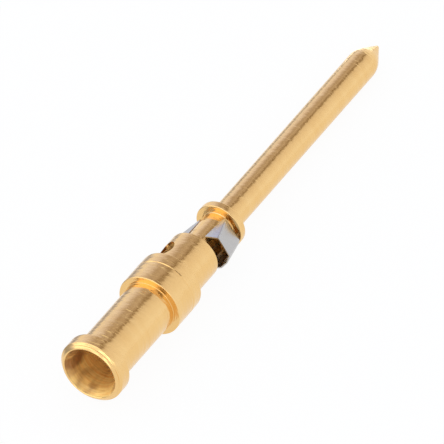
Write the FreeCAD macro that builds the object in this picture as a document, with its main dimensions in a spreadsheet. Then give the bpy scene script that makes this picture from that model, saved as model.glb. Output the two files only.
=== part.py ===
import FreeCAD, Part
import Sketcher
import os

# Crimp pin contact: a plated contact body turned from one bar, and the spring clip that turns
# in its groove. Lengths are in millimetres and angles in degrees. Each piece is drawn along its
# own Y axis, from the wire mouth at 0 towards the pin's point, then laid down as it comes to rest.

# Driving dimensions: name, value, meaning
dimensions = [
    ("flange_dia", 3.54, "flange round the wire mouth"),
    ("flange_bevel", 0.25, "length of the bevel behind the flange"),
    ("flange_land", 0.7, "straight part of the flange"),
    ("mouth_dia", 2.98, "wire mouth at its lip"),
    ("funnel_depth", 0.5, "depth of the funnel that leads strands in"),
    ("bore_dia", 2.4, "wire bore"),
    ("bore_past_sight", 0.4, "full diameter of the bore, past the inspection hole's centre"),
    ("drill_angle", 118.0, "included angle of the bore's end"),
    ("barrel_dia", 2.8, "crimp barrel"),
    ("barrel_length", 4.91, "crimp barrel, flange to collar"),
    ("collar_dia", 3.5, "collar"),
    ("collar_nose_dia", 3.47, "collar at its front edge"),
    ("collar_length", 2.14, "collar"),
    ("line_offset", 1.33, "turned line, from the collar's rear face"),
    ("line_width", 0.07, "turned line"),
    ("line_depth", 0.03, "turned line"),
    ("shank_dia", 2.73, "shank in front of the collar"),
    ("shank_length", 2.33, "shank, collar to groove"),
    ("shank_bevel", 0.08, "bevel at the front of the shank"),
    ("sight_dia", 1.2, "inspection hole"),
    ("sight_offset", 0.95, "inspection hole's centre, from the collar's front face"),
    ("sight_angle", -47.5, "inspection hole, turned from the top"),
    ("neck_dia", 1.76, "neck at the bottom of the clip groove"),
    ("groove_length", 2.34, "clip groove"),
    ("ring_dia", 2.62, "ring in front of the clip"),
    ("ring_length", 0.42, "ring in front of the clip"),
    ("pin_dia", 1.6, "contact pin"),
    ("pin_length", 14.13, "contact pin, ring to cone"),
    ("point_length", 1.31, "cone at the pin's end"),
    ("point_flat", 0.16, "blunt end of the cone"),
    ("point_round", 0.6, "rounding between the pin and its cone"),
    ("barrel_root_share", 0.343, "inside corners at the ends of the barrel, of the collar's step"),
    ("groove_root", 0.06, "inside corners of the clip groove and at the root of the pin"),
    ("edge_break", 0.03, "chamfer that breaks the turned edges"),
    ("point_break", 0.04, "chamfer round the pin's blunt end"),
    ("clip_sheet", 0.08, "sheet of the clip"),
    ("clip_length", 1.64, "clip along the pin"),
    ("clip_play", 0.02, "running clearance of the clip round the neck"),
    ("clip_end_play", 0.17, "clip to the ring"),
    ("clip_angle", 62.5, "clip, turned from the top"),
    ("tine_angle", 10.5, "turn of each tine towards the open side"),
    ("tine_flare_angle", 18.3, "slope of the tines"),
    ("tine_near_rear", 0.3, "tine, from its centre line to the open side, rear end"),
    ("tine_near_front", 0.42, "tine, from its centre line to the open side, front end"),
    ("tine_far_rear", 0.83, "tine, from its centre line to the closed side, rear end"),
    ("tine_far_front", 0.91, "tine, from its centre line to the closed side, front end"),
    ("side_flare_angle", 6.5, "slope of the flanks and the back"),
    ("flank_room", 0.3, "extra room between the neck and the flanks"),
    ("back_room", 0.09, "extra room between the neck and the back"),
    ("lip_angle", 70.0, "fold between a tine and the lip at the open side"),
    ("shoulder_angle", 52.0, "fold between a tine and its shoulder"),
    ("flank_angle", 71.0, "fold between a tine and the flank"),
    ("gap_rear", 1.28, "opening between the lips, rear end"),
    ("gap_front", 1.42, "opening between the lips, front end"),
    ("bend_radius", 0.05, "inside radius of the clip's folds"),
]

doc = FreeCAD.newDocument("CrimpPinContact")
sheet = doc.addObject("Spreadsheet::Sheet", "Sizes")
for row, (name, value, meaning) in enumerate(dimensions, start=1):
    sheet.set(f"A{row}", meaning)
    sheet.set(f"B{row}", str(value))
    sheet.setAlias(f"B{row}", name)
doc.recompute()


def size(name):
    return f"Sizes.{name}"


def radius(name):
    return f"({size(name)} / 2)"


def plane(body, role):
    return next(item for item in body.Origin.OriginFeatures if item.Role == role)


def pin_corner(sketch, line, direction, expression):
    # A corner lies on an axis of the sketch, or at a distance from the sketch's origin.
    if expression == "0":
        axis = -2 if direction == "DistanceX" else -1
        sketch.addConstraint(Sketcher.Constraint("PointOnObject", line, 1, axis))
        return
    point = sketch.getPoint(line, 1)
    start = point.x if direction == "DistanceX" else point.y
    index = sketch.addConstraint(Sketcher.Constraint(direction, -1, 1, line, 1, start))
    sketch.setExpression(f"Constraints[{index}]", expression)


def draw_outline(sketch, corners):
    # Corners start on a circle in their order, and their sizes then move them into place.
    count = len(corners)
    turn = FreeCAD.Rotation(FreeCAD.Vector(0, 0, 1), 360 / count)
    spots = [FreeCAD.Vector(1, 1, 0)]
    while len(spots) < count:
        spots.append(turn.multVec(spots[-1]))
    for line in range(count):
        end = spots[(line + 1) % count]
        sketch.addGeometry(Part.LineSegment(spots[line], end), False)
    for line in range(count):
        sketch.addConstraint(Sketcher.Constraint("Coincident", line, 2, (line + 1) % count, 1))
    for line, (across, along) in enumerate(corners):
        pin_corner(sketch, line, "DistanceX", across)
        pin_corner(sketch, line, "DistanceY", along)


def new_sketch(body, name, role):
    sketch = body.newObject("Sketcher::SketchObject", name)
    sketch.AttachmentSupport = (plane(body, role), [""])
    sketch.MapMode = "FlatFace"
    return sketch


# Two points nearer to each other than this are the same point
coincidence = 0.000001

# Stations along the axis, from the lip of the wire mouth
flange_rear = size("flange_bevel")
flange_front = f"({flange_rear} + {size('flange_land')})"
collar_rear = f"({flange_front} + {size('barrel_length')})"
collar_front = f"({collar_rear} + {size('collar_length')})"
shank_front = f"({collar_front} + {size('shank_length')})"
ring_rear = f"({shank_front} + {size('groove_length')})"
ring_front = f"({ring_rear} + {size('ring_length')})"
point_rear = f"({ring_front} + {size('pin_length')})"
point_front = f"({point_rear} + {size('point_length')})"
sight_station = f"({collar_front} + {size('sight_offset')})"
bore_depth = f"({sight_station} + {size('bore_past_sight')})"
bore_end = f"({bore_depth} + {radius('bore_dia')} / tan({size('drill_angle')} / 2))"
line_rear = f"({collar_rear} + {size('line_offset')})"
line_middle = f"({line_rear} + {size('line_width')} / 2)"
line_front = f"({line_rear} + {size('line_width')})"
clip_front = f"({ring_rear} - {size('clip_end_play')})"
clip_rear = f"({clip_front} - {size('clip_length')})"

# Pose at rest: the part lies on the collar's front edge and the end of the pin, nose down.
# Its origin is under the middle of its length, on the surface.
tilt = (f"atan(({radius('collar_nose_dia')} - {radius('pin_dia')})"
        f" / ({point_rear} - {collar_front}))")
lift = f"({collar_front} * sin({tilt}) + {radius('collar_nose_dia')} * cos({tilt}))"
back_off = f"(({point_front} * cos({tilt}) - {radius('mouth_dia')} * sin({tilt})) / 2)"


def lay_down(body, roll):
    spot = f"vector(0; -{back_off}; {lift})"
    nose_down = f"rotation(vector(1; 0; 0); -{tilt})"
    rolled = f"rotation(vector(0; 1; 0); {roll})"
    body.setExpression("Placement", f"placement({spot}; {nose_down} * {rolled})")


# Contact body: one turned piece, its half section going round from the bore's end
contact = doc.addObject("PartDesign::Body", "contact_body")
contact.Label = "contact_body"
section = {
    "bore end": ("0", bore_end),
    "bore corner": (radius("bore_dia"), bore_depth),
    "funnel end": (radius("bore_dia"), size("funnel_depth")),
    "lip": (radius("mouth_dia"), "0"),
    "flange rear": (radius("flange_dia"), flange_rear),
    "flange front": (radius("flange_dia"), flange_front),
    "barrel rear": (radius("barrel_dia"), flange_front),
    "barrel front": (radius("barrel_dia"), collar_rear),
    "collar rear": (radius("collar_dia"), collar_rear),
    "line rear": (radius("collar_dia"), line_rear),
    "line bottom": (f"{radius('collar_dia')} - {size('line_depth')}", line_middle),
    "line front": (radius("collar_dia"), line_front),
    "collar front": (radius("collar_nose_dia"), collar_front),
    "shank rear": (radius("shank_dia"), collar_front),
    "shank front": (radius("shank_dia"), shank_front),
    "neck rear": (radius("neck_dia"), shank_front),
    "neck front": (radius("neck_dia"), ring_rear),
    "ring rear": (radius("ring_dia"), ring_rear),
    "ring front": (radius("ring_dia"), ring_front),
    "pin rear": (radius("pin_dia"), ring_front),
    "pin front": (radius("pin_dia"), point_rear),
    "point corner": (radius("point_flat"), point_front),
    "point end": ("0", point_front),
}
profile = new_sketch(contact, "contact_section", "XY_Plane")
draw_outline(profile, list(section.values()))
turned = contact.newObject("PartDesign::Revolution", "turned_contact")
turned.Profile = profile
turned.ReferenceAxis = (profile, ["V_Axis"])
turned.Angle = 360
doc.recompute()

# Inspection hole: through one wall of the shank, into the bore
sight = new_sketch(contact, "sight_circle", "XY_Plane")
sight.addGeometry(Part.Circle(FreeCAD.Vector(0, 1, 0), FreeCAD.Vector(0, 0, 1), 1), False)
sight.addConstraint(Sketcher.Constraint("PointOnObject", 0, 3, -2))
height = sight.addConstraint(Sketcher.Constraint("DistanceY", -1, 1, 0, 3, 1))
sight.setExpression(f"Constraints[{height}]", sight_station)
girth = sight.addConstraint(Sketcher.Constraint("Diameter", 0, 1))
sight.setExpression(f"Constraints[{girth}]", size("sight_dia"))
drilled = contact.newObject("PartDesign::Pocket", "inspection_hole")
drilled.Profile = sight
drilled.Reversed = True
drilled.setExpression("Length", size("shank_dia"))
doc.recompute()


def turned_edges(shape, names):
    # The round edges of the turned piece that pass through the named corners of its section.
    order = list(section)
    wanted = [profile.Geometry[order.index(name)].StartPoint for name in names]
    found = []
    for number, edge in enumerate(shape.Edges, start=1):
        if not isinstance(edge.Curve, Part.Circle):
            continue
        corner = FreeCAD.Vector(edge.Curve.Radius, edge.Curve.Center.y, 0)
        if any(corner.isEqual(spot, coincidence) for spot in wanted):
            found.append(f"Edge{number}")
    return found


def break_edges(base, feature_name, names, size_name):
    broken = contact.newObject("PartDesign::Chamfer", feature_name)
    broken.Base = (base, turned_edges(base.Shape, names))
    broken.setExpression("Size", size(size_name))
    doc.recompute()
    return broken


def round_edges(base, feature_name, names, rounding):
    rounded = contact.newObject("PartDesign::Fillet", feature_name)
    rounded.Base = (base, turned_edges(base.Shape, names))
    rounded.setExpression("Radius", rounding)
    doc.recompute()
    return rounded


outer_edges = ["lip", "flange rear", "flange front", "collar rear", "collar front",
               "ring rear", "ring front"]
broken_body = break_edges(drilled, "broken_edges", outer_edges, "edge_break")
bevelled_shank = break_edges(broken_body, "bevelled_shank", ["shank front"], "shank_bevel")
broken_point = break_edges(bevelled_shank, "broken_point", ["point corner"], "point_break")
collar_step = f"({radius('collar_dia')} - {radius('barrel_dia')})"
barrel_root = f"({collar_step} * {size('barrel_root_share')})"
barrel_ends = ["barrel rear", "barrel front"]
rounded_barrel = round_edges(broken_point, "rounded_barrel_ends", barrel_ends, barrel_root)
groove_corners = ["neck rear", "neck front", "pin rear"]
rounded_groove = round_edges(rounded_barrel, "rounded_groove", groove_corners, size("groove_root"))
rounded_point = round_edges(rounded_groove, "rounded_point", ["pin front"], size("point_round"))
contact.Tip = rounded_point
lay_down(contact, size("sight_angle"))

# Retention clip: spring sheet folded round the neck, open at one side. In its section, seen
# along the pin, X runs towards the closed back, and Y is square to it, on the first tine's side.
# Each wall is a flat with its own normal, turned from Y, and its own distance from the axis.
tine_front = f"({radius('neck_dia')} + {size('clip_play')} + {size('clip_sheet')})"
tine_rear = f"({tine_front} + {size('clip_length')} * tan({size('tine_flare_angle')}))"
side_rise = f"{size('clip_length')} * tan({size('side_flare_angle')})"
tine_normal = f"(-{size('tine_angle')})"
lip_normal = f"({tine_normal} - {size('lip_angle')})"
shoulder_normal = f"({tine_normal} + {size('shoulder_angle')})"
flank_normal = f"({tine_normal} + {size('flank_angle')})"


def wall_through(across, tine, turn):
    # How far from the axis a wall lies that leaves the tine at that place across it
    return f"({across} * sin({turn}) + {tine} * cos({turn}))"


def clip_walls(tine, near, far, rise, gap):
    flank = f"({tine_front} + {size('flank_room')} + {rise})"
    back = f"({tine_front} + {size('back_room')} + {rise})"
    lip = wall_through(near, tine, size("lip_angle"))
    shoulder = wall_through(far, tine, size("shoulder_angle"))
    sheet_outside = [
        (lip_normal, lip),
        (tine_normal, tine),
        (shoulder_normal, shoulder),
        (flank_normal, flank),
    ]
    mirrored = [(f"(180 - {normal})", reach) for normal, reach in reversed(sheet_outside)]
    outside = sheet_outside + [("90", back)] + mirrored
    inside = [(normal, f"({reach} - {size('clip_sheet')})") for normal, reach in outside]
    first_cut = ("0", f"({gap} / 2)")
    last_cut = ("180", f"({gap} / 2)")
    return [[first_cut] + outside + [last_cut], [first_cut] + inside + [last_cut]]


def meeting(first, second):
    # The point where two walls meet
    (angle_a, reach_a), (angle_b, reach_b) = first, second
    spread = f"sin({angle_a} - {angle_b})"
    across = f"({reach_a} * cos({angle_b}) - {reach_b} * cos({angle_a})) / {spread}"
    along = f"({reach_b} * sin({angle_a}) - {reach_a} * sin({angle_b})) / {spread}"
    return across, along


def clip_section(name, station, walls):
    outside, inside = clip_walls(*walls)
    outer = [meeting(*pair) for pair in zip(outside, outside[1:])]
    inner = [meeting(*pair) for pair in zip(inside, inside[1:])]
    sketch = new_sketch(clip, name, "XZ_Plane")
    sketch.setExpression("AttachmentOffset.Base.z", f"-{station}")
    draw_outline(sketch, outer + inner[::-1])
    return sketch


def round_fold(sketch, line, outer):
    # The bend where a wall starts; its sharp corner stays as a point that its sizes place.
    bend = sheet.bend_radius + (sheet.clip_sheet if outer else 0)
    sketch.fillet(line, 1, bend, True, True)
    arc = next(number for number in reversed(range(sketch.GeometryCount))
               if isinstance(sketch.Geometry[number], Part.ArcOfCircle))
    index = sketch.addConstraint(Sketcher.Constraint("Radius", arc, bend))
    bend_size = f"{size('bend_radius')} + {size('clip_sheet')}" if outer else size("bend_radius")
    sketch.setExpression(f"Constraints[{index}]", bend_size)


def round_folds(sketch, wall_count):
    # The first and last corners of each side are cuts beside the gap, not folds.
    for line in range(1, wall_count):
        round_fold(sketch, line, True)
    for line in range(wall_count + 2, 2 * wall_count + 1):
        round_fold(sketch, line, False)


clip = doc.addObject("PartDesign::Body", "retention_clip")
clip.Label = "retention_clip"
rear_walls = [tine_rear, size("tine_near_rear"), size("tine_far_rear"), side_rise, size("gap_rear")]
front_walls = [tine_front, size("tine_near_front"), size("tine_far_front"), "0", size("gap_front")]
rear_section = clip_section("clip_rear", clip_rear, rear_walls)
front_section = clip_section("clip_front", clip_front, front_walls)
doc.recompute()
wall_count = len(clip_walls(*front_walls)[0]) - 2
for fold_section in (rear_section, front_section):
    round_folds(fold_section, wall_count)
folded = clip.newObject("PartDesign::AdditiveLoft", "folded_sheet")
folded.Profile = rear_section
folded.Sections = [front_section]
folded.Ruled = True
clip.Tip = folded
lay_down(clip, size("clip_angle"))
doc.recompute()

for item in doc.Objects:
    if "Invalid" in item.State or "Error" in item.State:
        raise RuntimeError(f"{item.Name} did not build")

pieces = [contact, clip]
os.makedirs("parts", exist_ok=True)
for piece in pieces:
    shape = piece.Shape
    if shape.isNull() or not shape.isValid() or len(shape.Solids) != 1:
        raise RuntimeError(f"{piece.Label} is not one good solid")
    box = shape.optimalBoundingBox()
    print(f"{piece.Label}: {shape.Volume:.4f} mm3, X {box.XMin:.3f} to {box.XMax:.3f},"
          f" Y {box.YMin:.3f} to {box.YMax:.3f}, Z {box.ZMin:.3f} to {box.ZMax:.3f}")
    shape.exportStep(f"parts/{piece.Label}.step")
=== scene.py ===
import bpy
import bmesh
import math
from mathutils import Matrix, Vector


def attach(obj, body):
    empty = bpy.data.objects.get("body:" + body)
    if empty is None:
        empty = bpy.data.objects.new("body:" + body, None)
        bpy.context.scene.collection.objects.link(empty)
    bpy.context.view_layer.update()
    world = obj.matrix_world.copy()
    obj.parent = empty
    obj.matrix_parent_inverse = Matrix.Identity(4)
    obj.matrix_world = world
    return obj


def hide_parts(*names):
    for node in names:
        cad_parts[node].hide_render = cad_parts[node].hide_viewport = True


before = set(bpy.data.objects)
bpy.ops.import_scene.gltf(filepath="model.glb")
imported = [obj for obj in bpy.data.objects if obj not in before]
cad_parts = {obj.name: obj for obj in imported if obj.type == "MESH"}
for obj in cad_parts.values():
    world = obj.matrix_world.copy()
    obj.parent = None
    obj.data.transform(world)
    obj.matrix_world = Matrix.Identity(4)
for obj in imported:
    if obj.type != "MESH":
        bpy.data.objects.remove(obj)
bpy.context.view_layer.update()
print("frame loaded")

millimetre = 0.001

# The turned contact, in mm, along its own axis from the lip of the wire mouth
contactSizes = {
    "mouthRadius": 1.49,
    "funnelDepth": 0.5,
    "boreRadius": 1.2,
    "boreDepth": 9.35,
    "boreEnd": 10.071,
    "flangeRadius": 1.77,
    "flangeRear": 0.25,
    "flangeFront": 0.95,
    "lipStepRadius": 1.645,
    "lipStepStation": 0.138,
    "lipStepDepth": 0.022,
    "lipStepFall": 0.004,
    "barrelRadius": 1.4,
    "collarRadius": 1.75,
    "collarNoseRadius": 1.735,
    "collarRear": 5.86,
    "collarFront": 8.0,
    "lineStation": 7.225,
    "lineWidth": 0.07,
    "lineDepth": 0.03,
    "shankRadius": 1.365,
    "shankFront": 10.33,
    "shankBevel": 0.08,
    "neckRadius": 0.88,
    "ringRadius": 1.31,
    "ringRear": 12.67,
    "ringFront": 13.09,
    "pinRadius": 0.8,
    "pointRear": 27.22,
    "pointFront": 28.53,
    "pointFlat": 0.08,
    "sightRadius": 0.6,
    "sightStation": 8.95,
    "sightRoll": -47.5,
    "facetsRound": 256,
    "drillFacets": 96,
    "roundingSteps": 4,
    "supportReach": 0.02,
    "supportedRun": 0.12,
    "drilledRowSpacing": 0.05,
    "weldReach": 0.0005,
    "tidyReach": 0.0002,
    "sharpAngle": 40,
    "roundings": {
        "boreEnd": 0.06,
        "funnelEnd": 1.1,
        "mouth": 0.06,
        "lipStepRear": 0.012,
        "lipStepFront": 0.008,
        "flangeRear": 0.045,
        "flangeFront": 0.035,
        "barrelRoot": 0.02,
        "collarRear": 0.04,
        "lineEdge": 0.008,
        "lineBottom": 0.012,
        "collarNose": 0.045,
        "shankRoot": 0.03,
        "shankBevel": 0.03,
        "grooveRoot": 0.06,
        "ring": 0.05,
        "pointRear": 1.5,
        "pointFront": 0.06,
    },
}


def restPose():
    # The part lies on the collar's front edge and the end of the pin
    sizes = contactSizes
    fall = sizes["collarNoseRadius"] - sizes["pinRadius"]
    tilt = math.atan(fall / (sizes["pointRear"] - sizes["collarFront"]))
    backOff = (sizes["pointFront"] * math.cos(tilt) - sizes["mouthRadius"] * math.sin(tilt)) / 2
    lift = sizes["collarFront"] * math.sin(tilt) + sizes["collarNoseRadius"] * math.cos(tilt)
    place = Matrix.Translation(Vector((0, -backOff, lift)) * millimetre)
    return place @ Matrix.Rotation(-tilt, 4, "X")


restMatrix = restPose()


def roundedRun(corners, steps):
    # Corners, each two measures and a rounding, become points, with an arc at each rounding
    points = []
    for number, (x, y, rounding) in enumerate(corners):
        here = Vector((x, y))
        if rounding == 0:
            points.append(here)
            continue
        before = Vector(corners[number - 1][:2]) - here
        after = Vector(corners[(number + 1) % len(corners)][:2]) - here
        halfAngle = before.angle(after) / 2
        reach = rounding / math.tan(halfAngle)
        start = here + before.normalized() * reach
        end = here + after.normalized() * reach
        middle = (before.normalized() + after.normalized()).normalized()
        centre = here + middle * (rounding / math.sin(halfAngle))
        first, last = start - centre, end - centre
        sweep = first.angle_signed(last)
        for step in range(steps + 1):
            turn = Matrix.Rotation(-sweep * step / steps, 2)
            points.append(centre + turn @ first)
    return points


def withSupports(points):
    # Rows beside the ends of each long run keep the shading of its faces flat
    support = contactSizes["supportReach"]
    out = []
    for here, onward in zip(points, points[1:]):
        out.append(here)
        run = (onward - here).length
        if run > contactSizes["supportedRun"]:
            out.append(here.lerp(onward, support / run))
            out.append(here.lerp(onward, 1 - support / run))
    out.append(points[-1])
    return out


def contactSection():
    # The outline of half the contact, from the bore's end out and round to the point
    s, r = contactSizes, contactSizes["roundings"]
    lineRear = s["lineStation"] - s["lineWidth"] / 2
    lineFront = s["lineStation"] + s["lineWidth"] / 2
    lipStepRear = s["lipStepStation"] - s["lipStepDepth"]
    lipStepFront = s["lipStepStation"] + s["lipStepDepth"]
    corners = [
        (0, s["boreEnd"], 0),
        (s["boreRadius"], s["boreDepth"], r["boreEnd"]),
        (s["boreRadius"], s["funnelDepth"], r["funnelEnd"]),
        (s["mouthRadius"], 0, r["mouth"]),
        (s["lipStepRadius"], lipStepRear, r["lipStepRear"]),
        (s["lipStepRadius"] - s["lipStepFall"], lipStepFront, r["lipStepFront"]),
        (s["flangeRadius"], s["flangeRear"], r["flangeRear"]),
        (s["flangeRadius"], s["flangeFront"], r["flangeFront"]),
        (s["barrelRadius"], s["flangeFront"], r["barrelRoot"]),
        (s["barrelRadius"], s["collarRear"], r["barrelRoot"]),
        (s["collarRadius"], s["collarRear"], r["collarRear"]),
        (s["collarRadius"], lineRear, r["lineEdge"]),
        (s["collarRadius"] - s["lineDepth"], s["lineStation"], r["lineBottom"]),
        (s["collarRadius"], lineFront, r["lineEdge"]),
        (s["collarNoseRadius"], s["collarFront"], r["collarNose"]),
        (s["shankRadius"], s["collarFront"], r["shankRoot"]),
        (s["shankRadius"], s["shankFront"] - s["shankBevel"], r["shankBevel"]),
        (s["shankRadius"] - s["shankBevel"], s["shankFront"], r["shankBevel"]),
        (s["neckRadius"], s["shankFront"], r["grooveRoot"]),
        (s["neckRadius"], s["ringRear"], r["grooveRoot"]),
        (s["ringRadius"], s["ringRear"], r["ring"]),
        (s["ringRadius"], s["ringFront"], r["ring"]),
        (s["pinRadius"], s["ringFront"], r["grooveRoot"]),
        (s["pinRadius"], s["pointRear"], r["pointRear"]),
        (s["pointFlat"], s["pointFront"], r["pointFront"]),
        (0, s["pointFront"], 0),
    ]
    points = withSupports(roundedRun(corners, s["roundingSteps"]))
    sameRadius = 0.0001
    rows = []
    for here, onward in zip(points, points[1:]):
        rows.append(here)
        low, high = sorted((here.y, onward.y))
        straight = abs(here.x - onward.x) < sameRadius
        onShank = low >= s["collarFront"] and high <= s["shankFront"]
        inBore = abs(here.x - s["boreRadius"]) < sameRadius
        if straight and (onShank or inBore):  # short rows, where the inspection hole cuts through
            count = int((onward - here).length / s["drilledRowSpacing"])
            rows += [here.lerp(onward, step / count) for step in range(1, count)]
    rows.append(points[-1])
    mesh = bpy.data.meshes.new("contactSection")
    edges = [(number, number + 1) for number in range(len(rows) - 1)]
    mesh.from_pydata([(row.x, row.y, 0) for row in rows], edges, [])
    return mesh


def addNode(tree, kind, **settings):
    node = tree.nodes.new(kind)
    for name, value in settings.items():
        setattr(node, name, value)
    return node


def maths(tree, operation, first, second=None):
    node = addNode(tree, "ShaderNodeMath", operation=operation)
    for slotNumber, value in enumerate((first, second)):
        if value is None:
            continue
        if isinstance(value, (int, float)):
            node.inputs[slotNumber].default_value = value
        else:
            tree.links.new(value, node.inputs[slotNumber])
    return node.outputs[0]


def turningTree():
    # Turns a section, drawn as a line of points, into a solid, and drills one hole in its side
    tree = bpy.data.node_groups.new("turnAndDrill", "GeometryNodeTree")
    face = tree.interface
    face.new_socket("Section", in_out="INPUT", socket_type="NodeSocketGeometry")
    face.new_socket("Facets Round", in_out="INPUT", socket_type="NodeSocketInt")
    face.new_socket("Hole Radius", in_out="INPUT", socket_type="NodeSocketFloat")
    face.new_socket("Hole Station", in_out="INPUT", socket_type="NodeSocketFloat")
    face.new_socket("Hole Roll", in_out="INPUT", socket_type="NodeSocketFloat")
    face.new_socket("Drill Reach", in_out="INPUT", socket_type="NodeSocketFloat")
    face.new_socket("Finish", in_out="INPUT", socket_type="NodeSocketMaterial")
    face.new_socket("Turned", in_out="OUTPUT", socket_type="NodeSocketGeometry")
    join = tree.links.new
    given = addNode(tree, "NodeGroupInput")
    result = addNode(tree, "NodeGroupOutput")

    counted = addNode(tree, "GeometryNodeAttributeDomainSize", component="MESH")
    join(given.outputs["Section"], counted.inputs[0])
    rowCount = counted.outputs["Point Count"]
    rowSpan = maths(tree, "SUBTRACT", rowCount, 1)
    grid = addNode(tree, "GeometryNodeMeshGrid")
    join(rowSpan, grid.inputs["Size X"])
    join(given.outputs["Facets Round"], grid.inputs["Size Y"])
    join(rowCount, grid.inputs["Vertices X"])
    join(maths(tree, "ADD", given.outputs["Facets Round"], 1), grid.inputs["Vertices Y"])

    place = addNode(tree, "GeometryNodeInputPosition")
    split = addNode(tree, "ShaderNodeSeparateXYZ")
    join(place.outputs[0], split.inputs[0])
    halfSpan = maths(tree, "MULTIPLY", rowSpan, 0.5)
    row = maths(tree, "ROUND", maths(tree, "ADD", split.outputs["X"], halfSpan))
    turn = maths(tree, "DIVIDE", maths(tree, "MULTIPLY", split.outputs["Y"], 2 * math.pi),
                 given.outputs["Facets Round"])
    rowPlace = addNode(tree, "GeometryNodeInputPosition")
    sample = addNode(tree, "GeometryNodeSampleIndex", data_type="FLOAT_VECTOR", domain="POINT")
    join(given.outputs["Section"], sample.inputs["Geometry"])
    join(rowPlace.outputs[0], sample.inputs["Value"])
    join(row, sample.inputs["Index"])
    rowSplit = addNode(tree, "ShaderNodeSeparateXYZ")
    join(sample.outputs[0], rowSplit.inputs[0])
    across = maths(tree, "MULTIPLY", rowSplit.outputs["X"], maths(tree, "SINE", turn))
    upward = maths(tree, "MULTIPLY", rowSplit.outputs["X"], maths(tree, "COSINE", turn))
    spot = addNode(tree, "ShaderNodeCombineXYZ")
    join(across, spot.inputs["X"])
    join(rowSplit.outputs["Y"], spot.inputs["Y"])
    join(upward, spot.inputs["Z"])
    turned = addNode(tree, "GeometryNodeSetPosition")
    join(grid.outputs["Mesh"], turned.inputs["Geometry"])
    join(spot.outputs[0], turned.inputs["Position"])
    merged = addNode(tree, "GeometryNodeMergeByDistance")
    merged.inputs["Distance"].default_value = contactSizes["weldReach"]
    join(turned.outputs[0], merged.inputs["Geometry"])

    drill = addNode(tree, "GeometryNodeMeshCylinder")
    drill.inputs["Vertices"].default_value = contactSizes["drillFacets"]
    join(given.outputs["Hole Radius"], drill.inputs["Radius"])
    join(given.outputs["Drill Reach"], drill.inputs["Depth"])
    drillPlace = addNode(tree, "ShaderNodeCombineXYZ")
    join(given.outputs["Hole Station"], drillPlace.inputs["Y"])
    join(given.outputs["Drill Reach"], drillPlace.inputs["Z"])
    drillTurn = addNode(tree, "ShaderNodeCombineXYZ")
    join(given.outputs["Hole Roll"], drillTurn.inputs["Y"])
    setOut = addNode(tree, "GeometryNodeTransform")
    join(drill.outputs["Mesh"], setOut.inputs["Geometry"])
    join(drillPlace.outputs[0], setOut.inputs["Translation"])
    rolled = addNode(tree, "GeometryNodeTransform")
    join(setOut.outputs[0], rolled.inputs["Geometry"])
    join(drillTurn.outputs[0], rolled.inputs["Rotation"])
    cut = addNode(tree, "GeometryNodeMeshBoolean", operation="DIFFERENCE", solver="EXACT")
    join(merged.outputs[0], cut.inputs["Mesh 1"])
    join(rolled.outputs[0], cut.inputs["Mesh 2"])

    real = addNode(tree, "GeometryNodeRealizeInstances")
    join(cut.outputs[0], real.inputs[0])
    finish = addNode(tree, "GeometryNodeSetMaterial")
    join(real.outputs[0], finish.inputs["Geometry"])
    join(given.outputs["Finish"], finish.inputs["Material"])
    join(finish.outputs[0], result.inputs[0])
    return tree


def setInputs(modifier, values):
    ids = {item.name: item.identifier for item in modifier.node_group.interface.items_tree
           if item.item_type == "SOCKET" and item.in_out == "INPUT"}
    for name, value in values.items():
        modifier[ids[name]] = value


def plainMesh(obj, name):
    # The evaluated shape as a plain mesh, with the modifiers gone
    evaluated = obj.evaluated_get(bpy.context.evaluated_depsgraph_get())
    mesh = bpy.data.meshes.new_from_object(evaluated)
    mesh.name = name
    obj.modifiers.clear()
    return mesh


def tidyMesh(mesh, nearest, sharpAngle):
    shape = bmesh.new()
    shape.from_mesh(mesh)
    bmesh.ops.remove_doubles(shape, verts=shape.verts, dist=nearest)
    bmesh.ops.dissolve_degenerate(shape, edges=shape.edges, dist=nearest / 10)
    bmesh.ops.recalc_face_normals(shape, faces=shape.faces)
    openEdges = sum(1 for edge in shape.edges if not edge.is_manifold)
    volume = shape.calc_volume(signed=True)
    shape.to_mesh(mesh)
    shape.free()
    mesh.polygons.foreach_set("use_smooth", [True] * len(mesh.polygons))
    mesh.set_sharp_from_angle(angle=math.radians(sharpAngle))
    print(f"{mesh.name}: {len(mesh.polygons)} faces, {openEdges} open edges, volume {volume:.4g}")


def link(obj):
    bpy.context.scene.collection.objects.link(obj)
    return obj


def axisCoordinates(tree):
    # Object coordinates turned so that Y runs along the tilted contact
    coords = addNode(tree, "ShaderNodeTexCoord")
    level = addNode(tree, "ShaderNodeMapping", vector_type="POINT")
    inverse = restMatrix.inverted()
    level.inputs["Location"].default_value = inverse.to_translation()
    level.inputs["Rotation"].default_value = inverse.to_euler()
    tree.links.new(coords.outputs["Object"], level.inputs["Vector"])
    return level.outputs[0]


def newMaterial(name):
    material = bpy.data.materials.new(name)
    material.use_nodes = True
    tree = material.node_tree
    shader = tree.nodes["Principled BSDF"]
    return material, tree, shader


def outFromAxis(tree, place):
    # The place's parts, and its distance from the contact's axis
    split = addNode(tree, "ShaderNodeSeparateXYZ")
    tree.links.new(place, split.inputs[0])
    squares = [maths(tree, "MULTIPLY", split.outputs[name], split.outputs[name]) for name in "XZ"]
    return split, maths(tree, "SQRT", maths(tree, "ADD", *squares))


def turnedCoordinates(tree, place, alongScale, roundScale):
    # Grooves left by the tool vary along the axis and outwards, and hardly at all round it
    split, radial = outFromAxis(tree, place)
    spot = addNode(tree, "ShaderNodeCombineXYZ")
    tree.links.new(maths(tree, "MULTIPLY", radial, alongScale), spot.inputs["X"])
    tree.links.new(maths(tree, "MULTIPLY", split.outputs["Y"], alongScale), spot.inputs["Y"])
    tree.links.new(maths(tree, "MULTIPLY", split.outputs["X"], roundScale), spot.inputs["Z"])
    return spot.outputs[0], maths(tree, "MULTIPLY", split.outputs["Z"], roundScale)


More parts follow.
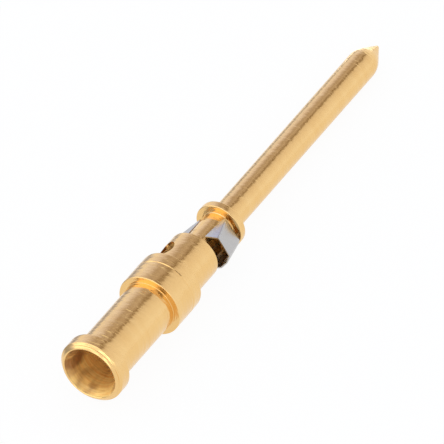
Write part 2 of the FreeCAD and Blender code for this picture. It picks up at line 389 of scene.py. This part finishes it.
def noise(tree, vector, fourth, detail, roughness=0.5):
    texture = addNode(tree, "ShaderNodeTexNoise", noise_dimensions="4D")
    texture.inputs["Scale"].default_value = 1
    texture.inputs["Detail"].default_value = detail
    texture.inputs["Roughness"].default_value = roughness
    tree.links.new(vector, texture.inputs["Vector"])
    tree.links.new(fourth, texture.inputs["W"])
    return texture.outputs["Fac"]


noiseSpan = (0.3, 0.7)  # what most of a noise lies between


def mapRange(tree, value, low, high):
    node = addNode(tree, "ShaderNodeMapRange")
    node.inputs["From Min"].default_value = noiseSpan[0]
    node.inputs["From Max"].default_value = noiseSpan[1]
    node.inputs["To Min"].default_value = low
    node.inputs["To Max"].default_value = high
    tree.links.new(value, node.inputs["Value"])
    return node.outputs[0]


# The plating's finish, with painted light and painted shade inside the bore: reaches and margin in
# mm, depths in metres, and marks counted per metre along the contact and round it
goldLook = {
    "colour": (0.885, 0.59, 0.25, 1),
    "darker": (0.855, 0.55, 0.22, 1),
    # Inside the funnel and bore the gold is painted light, brighter and more orange than the
    # plating, and its dark brown patches are painted shade
    "borePaintedLight": (1.0, 0.71, 0.24, 1),
    "borePaintedLightDarker": (1.0, 0.6, 0.17, 1),
    "borePaintedShade": (0.36, 0.17, 0.05, 1),
    "borePaintedShadeShare": (-0.7, 1.3),
    "funnelReach": 1.46,
    "boreMargin": 0.05,
    "smooth": 0.13,
    "rough": 0.24,
    "boreRough": 0.4,
    "boreDull": 0.7,
    "groovesPerMetre": 14000,
    "groovesRoundPerMetre": 500,
    "grooveDepth": 0.000006,
    "broadMarksPerMetre": 2600,
    "broadMarksRoundPerMetre": 420,
    "broadDepth": 0.000009,
    "chatterPerMetre": 5200,
    "chatterRoundPerMetre": 1800,
    "chatterDepth": 0.000034,
    "ringsPerMetre": 8000,
    "ringsRoundPerMetre": 60,
    "ringDepth": 0.000009,
    # How often the patches of painted shade in the bore repeat
    "boreShadePatchesPerMetre": 420,
    "boreShadePatchesRoundPerMetre": 1100,
}


def insideBore(tree, place):
    # 1 on the funnel and the bore, and 0 elsewhere
    margin = goldLook["boreMargin"]
    reaches = (
        (goldLook["funnelReach"], contactSizes["funnelDepth"]),
        (contactSizes["boreRadius"] + margin, contactSizes["boreEnd"] + margin),
    )
    split, radial = outFromAxis(tree, place)
    within = []
    for out, station in reaches:
        near = maths(tree, "LESS_THAN", radial, out * millimetre)
        behind = maths(tree, "LESS_THAN", split.outputs["Y"], station * millimetre)
        within.append(maths(tree, "MULTIPLY", near, behind))
    return maths(tree, "MAXIMUM", *within)


def bumped(tree, height, depth, normal=None):
    bump = addNode(tree, "ShaderNodeBump")
    bump.inputs["Strength"].default_value = 1
    if isinstance(depth, float):
        bump.inputs["Distance"].default_value = depth
    else:
        tree.links.new(depth, bump.inputs["Distance"])
    tree.links.new(height, bump.inputs["Height"])
    if normal:
        tree.links.new(normal, bump.inputs["Normal"])
    return bump.outputs[0]


def marks(tree, place, name, detail, roughness=0.5):
    alongScale, roundScale = goldLook[name + "PerMetre"], goldLook[name + "RoundPerMetre"]
    return noise(tree, *turnedCoordinates(tree, place, alongScale, roundScale), detail, roughness)


def blended(tree, share, first, second):
    # A colour between two, each a plain one or another node's
    mix = addNode(tree, "ShaderNodeMix", data_type="RGBA")
    for slotName, colour in (("A_Color", first), ("B_Color", second)):
        slot = next(each for each in mix.inputs if each.identifier == slotName)
        if isinstance(colour, tuple):
            slot.default_value = colour
        else:
            tree.links.new(colour, slot)
    tree.links.new(share, mix.inputs["Factor"])
    return next(each for each in mix.outputs if each.identifier == "Result_Color")


def goldPlating():
    s = goldLook
    material, tree, shader = newMaterial("goldPlating")
    place = axisCoordinates(tree)
    inside = insideBore(tree, place)
    fine = marks(tree, place, "grooves", detail=3, roughness=0.6)
    broad = marks(tree, place, "broadMarks", detail=2)
    chatter = marks(tree, place, "chatter", detail=1)
    rings = marks(tree, place, "rings", detail=1)
    # Patches where the bore's painted shade falls
    boreShadePatches = marks(tree, place, "boreShadePatches", detail=2)

    plated = blended(tree, mapRange(tree, broad, 0, 1), s["colour"], s["darker"])
    # Inside the bore the colour is painted light, brighter than the plating and varied by the
    # tool's rings, with patches of painted shade
    paintedBoreLight = blended(tree, mapRange(tree, rings, 0, 1), s["borePaintedLight"], s["borePaintedLightDarker"])
    paintedBoreLightAndShade = blended(tree, mapRange(tree, boreShadePatches, *s["borePaintedShadeShare"]), paintedBoreLight, s["borePaintedShade"])
    tree.links.new(blended(tree, inside, plated, paintedBoreLightAndShade), shader.inputs["Base Color"])
    roughness = maths(tree, "MAXIMUM", mapRange(tree, fine, s["smooth"], s["rough"]),
                      maths(tree, "MULTIPLY", inside, s["boreRough"]))
    tree.links.new(roughness, shader.inputs["Roughness"])
    metallic = maths(tree, "SUBTRACT", 1, maths(tree, "MULTIPLY", inside, s["boreDull"]))
    tree.links.new(metallic, shader.inputs["Metallic"])

    normal = bumped(tree, fine, s["grooveDepth"])
    normal = bumped(tree, broad, s["broadDepth"], normal)
    normal = bumped(tree, chatter, s["chatterDepth"], normal)
    normal = bumped(tree, rings, maths(tree, "MULTIPLY", inside, s["ringDepth"]), normal)
    tree.links.new(normal, shader.inputs["Normal"])
    return material


def buildContact(material):
    body = link(bpy.data.objects.new("turnedContact", contactSection()))
    modifier = body.modifiers.new("turnAndDrill", "NODES")
    modifier.node_group = turningTree()
    setInputs(modifier, {
        "Facets Round": contactSizes["facetsRound"],
        "Hole Radius": contactSizes["sightRadius"],
        "Hole Station": contactSizes["sightStation"],
        "Hole Roll": math.radians(contactSizes["sightRoll"]),
        "Drill Reach": contactSizes["shankRadius"],
        "Finish": material,
    })
    mesh = plainMesh(body, "turnedContact")
    body.data = mesh
    tidyMesh(mesh, contactSizes["tidyReach"], contactSizes["sharpAngle"])
    mesh.transform(restMatrix @ Matrix.Scale(millimetre, 4))
    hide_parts("contact_body")
    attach(body, "contact")


buildContact(goldPlating())
print("contact turned")

# The spring clip, in mm and degrees. Its section is drawn at both ends: X runs towards its closed
# back and Y is square to it. Each wall is a flat, given as its normal, counted from Y towards X,
# and its distance from the axis.
clipSizes = {
    "rear": 10.86,
    "front": 12.5,
    "roll": 62.5,
    "sheet": 0.08,
    "bendRadius": 0.05,
    "tineTurn": 10.5,
    "tineFront": 0.98,
    "tineFlare": 18.3,
    "nearRear": 0.3,
    "nearFront": 0.42,
    "farRear": 0.83,
    "farFront": 0.91,
    "sideFlare": 6.5,
    "flankRoom": 0.3,
    "backRoom": 0.09,
    "lipTurn": 70.0,
    "shoulderTurn": 52.0,
    "flankTurn": 71.0,
    "gapRear": 1.28,
    "gapFront": 1.42,
    "foldSteps": 5,
    "lengthSteps": 12,
    "edgeBreak": 0.012,
    "edgeBreakSteps": 2,
    "edgeBreakAngle": 60,
    "tidyReach": 0.0001,
    "sharpAngle": 35,
}


def clipWalls(tine, near, far, rise, gap):
    # One side's lip, tine, shoulder and flank, then the back and the other side. The first and the
    # last wall are the cuts at the open side.
    s = clipSizes

    def reachThrough(across, turn):
        return across * math.sin(math.radians(turn)) + tine * math.cos(math.radians(turn))

    side = [
        (-s["tineTurn"] - s["lipTurn"], reachThrough(near, s["lipTurn"])),
        (-s["tineTurn"], tine),
        (s["shoulderTurn"] - s["tineTurn"], reachThrough(far, s["shoulderTurn"])),
        (s["flankTurn"] - s["tineTurn"], s["tineFront"] + s["flankRoom"] + rise),
    ]
    mirrored = [(180 - normal, reach) for normal, reach in reversed(side)]
    back = (90, s["tineFront"] + s["backRoom"] + rise)
    outside = side + [back] + mirrored
    return [(0, gap / 2)] + outside + [(180, gap / 2)]


def wallMeeting(first, second):
    (normalA, reachA), (normalB, reachB) = first, second
    a, b = math.radians(normalA), math.radians(normalB)
    spread = math.sin(a - b)
    x = (reachA * math.cos(b) - reachB * math.cos(a)) / spread
    y = (reachB * math.sin(a) - reachA * math.sin(b)) / spread
    return x, y


def clipContour(walls, inner):
    s = clipSizes
    thickness = s["sheet"] if inner else 0
    cuts = (walls[0], walls[-1])
    flats = [(normal, reach - thickness) for normal, reach in walls[1:-1]]
    run = [cuts[0]] + flats + [cuts[1]]
    bend = s["bendRadius"] if inner else s["bendRadius"] + s["sheet"]
    corners = []
    for number, pair in enumerate(zip(run, run[1:])):
        x, y = wallMeeting(*pair)
        atCut = number in (0, len(run) - 2)
        corners.append((x, y, 0 if atCut else bend))
    return roundedRun(corners, s["foldSteps"])


def buildClip(material):
    s = clipSizes
    length = s["front"] - s["rear"]
    tineRear = s["tineFront"] + length * math.tan(math.radians(s["tineFlare"]))
    sideRise = length * math.tan(math.radians(s["sideFlare"]))
    ends = [
        clipWalls(tineRear, s["nearRear"], s["farRear"], sideRise, s["gapRear"]),
        clipWalls(s["tineFront"], s["nearFront"], s["farFront"], 0, s["gapFront"]),
    ]
    roll = Matrix.Rotation(math.radians(s["roll"]), 4, "Y")
    shape = bmesh.new()
    grids = []
    for inner in (False, True):
        rearRun, frontRun = [clipContour(walls, inner) for walls in ends]
        grid = []
        for step in range(s["lengthSteps"] + 1):
            part = step / s["lengthSteps"]
            station = s["rear"] + length * part
            row = []
            for rearSpot, frontSpot in zip(rearRun, frontRun):
                spot = rearSpot.lerp(frontSpot, part)
                row.append(shape.verts.new(roll @ Vector((spot.x, station, spot.y))))
            grid.append(row)
        grids.append(grid)
    outer, inner = grids
    for grid in grids:
        for low, high in zip(grid, grid[1:]):
            for number in range(len(low) - 1):
                shape.faces.new((low[number], low[number + 1], high[number + 1], high[number]))
    for row in (0, s["lengthSteps"]):
        for number in range(len(outer[row]) - 1):
            shape.faces.new((outer[row][number], outer[row][number + 1],
                             inner[row][number + 1], inner[row][number]))
    for column in (0, len(outer[0]) - 1):
        for step in range(s["lengthSteps"]):
            shape.faces.new((outer[step][column], outer[step + 1][column],
                             inner[step + 1][column], inner[step][column]))
    bmesh.ops.recalc_face_normals(shape, faces=shape.faces)
    mesh = bpy.data.meshes.new("springClip")
    shape.to_mesh(mesh)
    shape.free()
    clip = link(bpy.data.objects.new("springClip", mesh))
    broken = clip.modifiers.new("brokenEdges", "BEVEL")
    broken.width = s["edgeBreak"]
    broken.segments = s["edgeBreakSteps"]
    broken.limit_method = "ANGLE"
    broken.angle_limit = math.radians(s["edgeBreakAngle"])
    clip.data = plainMesh(clip, "springClip")
    clip.data.materials.append(material)
    tidyMesh(clip.data, s["tidyReach"], s["sharpAngle"])
    clip.data.transform(restMatrix @ Matrix.Scale(millimetre, 4))
    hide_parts("retention_clip")
    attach(clip, "clip")


steelLook = {
    "colour": (0.52, 0.51, 0.5, 1),
    "smooth": 0.24,
    "rough": 0.4,
    "grainPerMetre": 16000,
    "grainRoundPerMetre": 1500,
    "grainDepth": 0.0000012,
}


def springSteel():
    s = steelLook
    material, tree, shader = newMaterial("springSteel")
    place = axisCoordinates(tree)
    spot, fourth = turnedCoordinates(tree, place, s["grainPerMetre"], s["grainRoundPerMetre"])
    grain = noise(tree, spot, fourth, detail=3)
    shader.inputs["Base Color"].default_value = s["colour"]
    shader.inputs["Metallic"].default_value = 1
    tree.links.new(mapRange(tree, grain, s["smooth"], s["rough"]), shader.inputs["Roughness"])
    tree.links.new(bumped(tree, grain, s["grainDepth"]), shader.inputs["Normal"])
    return material


buildClip(springSteel())
print("clip folded")

# Studio: a pale floor, a white surround, and cards and strips that only the metal mirrors
studioLook = {
    "floorSize": 0.8,
    "floorColour": (0.9, 0.9, 0.9, 1),
    "floorRough": 0.9,
    "floorWhite": 0.94,
    "floorMirrored": 0.85,
    "surround": (1.01, 1.04, 1.12, 1),
    "cardSteps": 24,
    "glossyBounces": 16,
}

# Each card is bent round the contact. Around is counted in degrees from the side that faces the
# camera. Each edge is a distance from the axis and a station along it from its middle, in mm, and
# the tones are spread round it. Only the lamp card lights anything, which is for the bore.
lineTones = (
    (-138, (0.9, 0.92, 1.0)), (-127, (0.4, 0.42, 0.5)), (-116, (0.45, 0.47, 0.57)),
    (-104, (0.9, 0.95, 1.2)),
)
cards = {
    "bandCard": {
        "around": (-106, 40), "edges": ((92, 37), (92, 147)), "tones": (
            (-106, (0.92, 0.96, 1.25)), (-97, (0.9, 0.95, 1.25)), (-85, (0.82, 0.84, 1.12)),
            (-74, (0.66, 0.64, 0.8)), (-64, (0.52, 0.48, 0.52)), (-54, (0.5, 0.45, 0.46)),
            (-46, (0.6, 0.56, 0.6)), (-38, (0.48, 0.42, 0.42)), (-29, (0.3, 0.24, 0.18)),
            (-24, (0.33, 0.27, 0.2)), (-20, (0.74, 0.7, 0.72)), (-8, (0.84, 0.82, 0.86)),
            (10, (0.92, 0.91, 0.95)), (40, (1.0, 1.02, 1.08)),
        ),
    },
    "rearLineCard": {"around": (-138, -104), "edges": ((5, -18), (5, 0.3)), "tones": lineTones},
    "frontLineCard": {"around": (-138, -104), "edges": ((5, 3.1), (5, 80)), "tones": lineTones},
    "lensCard": {
        "around": (-16, 16), "edges": ((92, -118), (92, -49)), "tones": (
            (-16, (0.5, 0.45, 0.42)), (-8, (0.15, 0.13, 0.12)), (8, (0.15, 0.13, 0.12)),
            (16, (0.6, 0.55, 0.5)),
        ),
    },
    "lampCard": {
        "lights": True, "around": (-180, 180), "edges": ((0.5, -110), (42, -110)), "tones": (
            (-180, (2.4, 2.3, 2.3)), (180, (2.4, 2.3, 2.3)),
        ),
    },
    "sideLamp": {
        "around": (-135, -25), "edges": ((92, -150), (92, -32)), "tones": (
            (-135, (1.1, 1.1, 1.15)), (-110, (1.75, 1.75, 1.75)), (-40, (1.75, 1.75, 1.75)),
            (-25, (1.1, 1.1, 1.15)),
        ),
    },
}

# Strips on the floor beside the pin's point, which its cone mirrors, in mm. Each has a left edge,
# a right edge and a brightness.
pointStrips = {
    "rear": 14.6,
    "front": 45.0,
    "height": 0.02,
    "strips": ((-14.0, -1.15, 1.8), (-1.15, -0.85, 0.25)),
}


def whiteBackground(tree, ordinary, white, cameraShare, mirrorShare):
    # How far the camera, and the rays that mirror in the metal, see the background as white
    rays = addNode(tree, "ShaderNodeLightPath")
    seen = maths(tree, "MULTIPLY", rays.outputs["Is Camera Ray"], cameraShare)
    bounced = maths(tree, "ADD", rays.outputs["Is Glossy Ray"], rays.outputs["Is Transmission Ray"])
    mirrored = maths(tree, "MULTIPLY", bounced, mirrorShare)
    mix = addNode(tree, "ShaderNodeMixShader")
    tree.links.new(maths(tree, "ADD", seen, mirrored), mix.inputs[0])
    tree.links.new(ordinary, mix.inputs[1])
    tree.links.new(white, mix.inputs[2])
    return mix.outputs[0]


def buildFloor():
    half = studioLook["floorSize"] / 2
    mesh = bpy.data.meshes.new("studioFloor")
    corners = [(-half, -half, 0), (half, -half, 0), (half, half, 0), (-half, half, 0)]
    mesh.from_pydata(corners, [], [(0, 1, 2, 3)])
    floor = link(bpy.data.objects.new("studioFloor", mesh))
    material, tree, shader = newMaterial("paleFloor")
    shader.inputs["Base Color"].default_value = studioLook["floorColour"]
    shader.inputs["Roughness"].default_value = studioLook["floorRough"]
    shader.inputs["Specular IOR Level"].default_value = 0
    glow = addNode(tree, "ShaderNodeEmission")
    mixed = whiteBackground(tree, shader.outputs[0], glow.outputs[0], studioLook["floorWhite"],
                            studioLook["floorMirrored"])
    tree.links.new(mixed, tree.nodes["Material Output"].inputs["Surface"])
    mesh.materials.append(material)


def contactDirections():
    # Along the contact, square to it towards the camera, and square to both
    along = (restMatrix.to_3x3() @ Vector((0, 1, 0))).normalized()
    facing = (cameraBack() - along * cameraBack().dot(along)).normalized()
    return along, facing, along.cross(facing)


def axisMiddle():
    return restMatrix @ Vector((0, contactSizes["pointFront"] / 2 * millimetre, 0))


def aroundContact(tree):
    # How far round the contact a place is, in degrees from the side that faces the camera
    coords = addNode(tree, "ShaderNodeTexCoord")
    fromAxis = addNode(tree, "ShaderNodeVectorMath", operation="SUBTRACT")
    fromAxis.inputs[1].default_value = axisMiddle()
    tree.links.new(coords.outputs["Object"], fromAxis.inputs[0])
    parts = []
    for direction in reversed(contactDirections()[1:]):
        part = addNode(tree, "ShaderNodeVectorMath", operation="DOT_PRODUCT")
        part.inputs[1].default_value = direction
        tree.links.new(fromAxis.outputs[0], part.inputs[0])
        parts.append(part.outputs["Value"])
    return maths(tree, "MULTIPLY", maths(tree, "ARCTAN2", *parts), 180 / math.pi)


def glowingStage(name, corners, faces, lights):
    # A sheet that glows, unseen by the camera. Its glow node can be given a colour.
    mesh = bpy.data.meshes.new(name)
    mesh.from_pydata(corners, [], faces)
    sheet = link(bpy.data.objects.new(name, mesh))
    material = bpy.data.materials.new(name)
    material.use_nodes = True
    tree = material.node_tree
    tree.nodes.clear()
    glow = addNode(tree, "ShaderNodeEmission")
    result = addNode(tree, "ShaderNodeOutputMaterial")
    tree.links.new(glow.outputs[0], result.inputs["Surface"])
    mesh.materials.append(material)
    sheet.visible_camera = False
    sheet.visible_shadow = False
    sheet.visible_diffuse = lights
    return tree, glow


def buildCard(name, card):
    (first, last), steps = card["around"], studioLook["cardSteps"]
    along, facing, sideways = contactDirections()
    corners = []
    for step in range(steps + 1):
        turn = math.radians(first + (last - first) * step / steps)
        outward = facing * math.cos(turn) + sideways * math.sin(turn)
        corners += [axisMiddle() + (outward * distance + along * station) * millimetre
                    for distance, station in card["edges"]]
    faces = [(2 * step, 2 * step + 1, 2 * step + 3, 2 * step + 2) for step in range(steps)]
    tree, glow = glowingStage(name, corners, faces, card.get("lights", False))
    part = addNode(tree, "ShaderNodeMapRange")
    part.inputs["From Min"].default_value = first
    part.inputs["From Max"].default_value = last
    tree.links.new(aroundContact(tree), part.inputs["Value"])
    tones = addNode(tree, "ShaderNodeValToRGB")
    stops = tones.color_ramp.elements
    while len(stops) < len(card["tones"]):
        stops.new(0.5)
    for stop, (around, tone) in zip(stops, card["tones"]):
        stop.position = (around - first) / (last - first)
    for stop, (around, tone) in zip(stops, card["tones"]):  # colours once all stops are in order
        stop.color = (*tone, 1)
    tree.links.new(part.outputs[0], tones.inputs["Fac"])
    tree.links.new(tones.outputs["Color"], glow.inputs["Color"])


def buildPointStrips():
    rear, front, height = [pointStrips[name] for name in ("rear", "front", "height")]
    for left, right, brightness in pointStrips["strips"]:
        outline = [(left, rear), (right, rear), (right, front), (left, front)]
        corners = [Vector((x, y, height)) * millimetre for x, y in outline]
        tree, glow = glowingStage("pointStrip", corners, [(0, 1, 2, 3)], False)
        glow.inputs["Strength"].default_value = brightness


def buildSurround():
    world = bpy.data.worlds.new("studio")
    bpy.context.scene.world = world
    world.use_nodes = True
    tree = world.node_tree
    ordinary = tree.nodes["Background"]
    ordinary.inputs["Color"].default_value = studioLook["surround"]
    white = addNode(tree, "ShaderNodeBackground")
    white.inputs["Color"].default_value = (1, 1, 1, 1)
    # The metal mirrors the surround in its own near-white tone
    mixed = whiteBackground(tree, ordinary.outputs[0], white.outputs[0], 1, 0)
    tree.links.new(mixed, tree.nodes["World Output"].inputs["Surface"])


# The photograph's view, 50 degrees off the contact's axis, with almost no perspective. The frame's
# width and the aim are in mm, and the clip distances in metres.
cameraView = {
    "azimuth": 30.45,
    "elevation": 45.0,
    "lens": 1500,
    "sensor": 36,
    "frameWidth": 22.2,
    "aim": (-0.0645, -1.122, 1.466),
    "clip": (0.01, 10),
}


def cameraBack():
    # From what it looks at back to the camera
    azimuth, elevation = math.radians(cameraView["azimuth"]), math.radians(cameraView["elevation"])
    level = math.cos(elevation)
    return Vector((math.sin(azimuth) * level, -math.cos(azimuth) * level, math.sin(elevation)))


def buildCamera():
    data = bpy.data.cameras.new("studioCamera")
    data.lens = cameraView["lens"]
    data.sensor_width = cameraView["sensor"]
    camera = link(bpy.data.objects.new("studioCamera", data))
    distance = cameraView["frameWidth"] * millimetre * cameraView["lens"] / cameraView["sensor"]
    camera.location = Vector(cameraView["aim"]) * millimetre + cameraBack() * distance
    camera.rotation_euler = (-cameraBack()).to_track_quat("-Z", "Y").to_euler()
    data.clip_start, data.clip_end = cameraView["clip"]
    bpy.context.scene.camera = camera


buildCamera()
buildFloor()
for cardName, card in cards.items():
    buildCard(cardName, card)
buildPointStrips()
buildSurround()
bpy.context.scene.view_settings.view_transform = "Standard"
bpy.context.scene.cycles.max_bounces = studioLook["glossyBounces"]
bpy.context.scene.cycles.glossy_bounces = studioLook["glossyBounces"]
print("studio set")
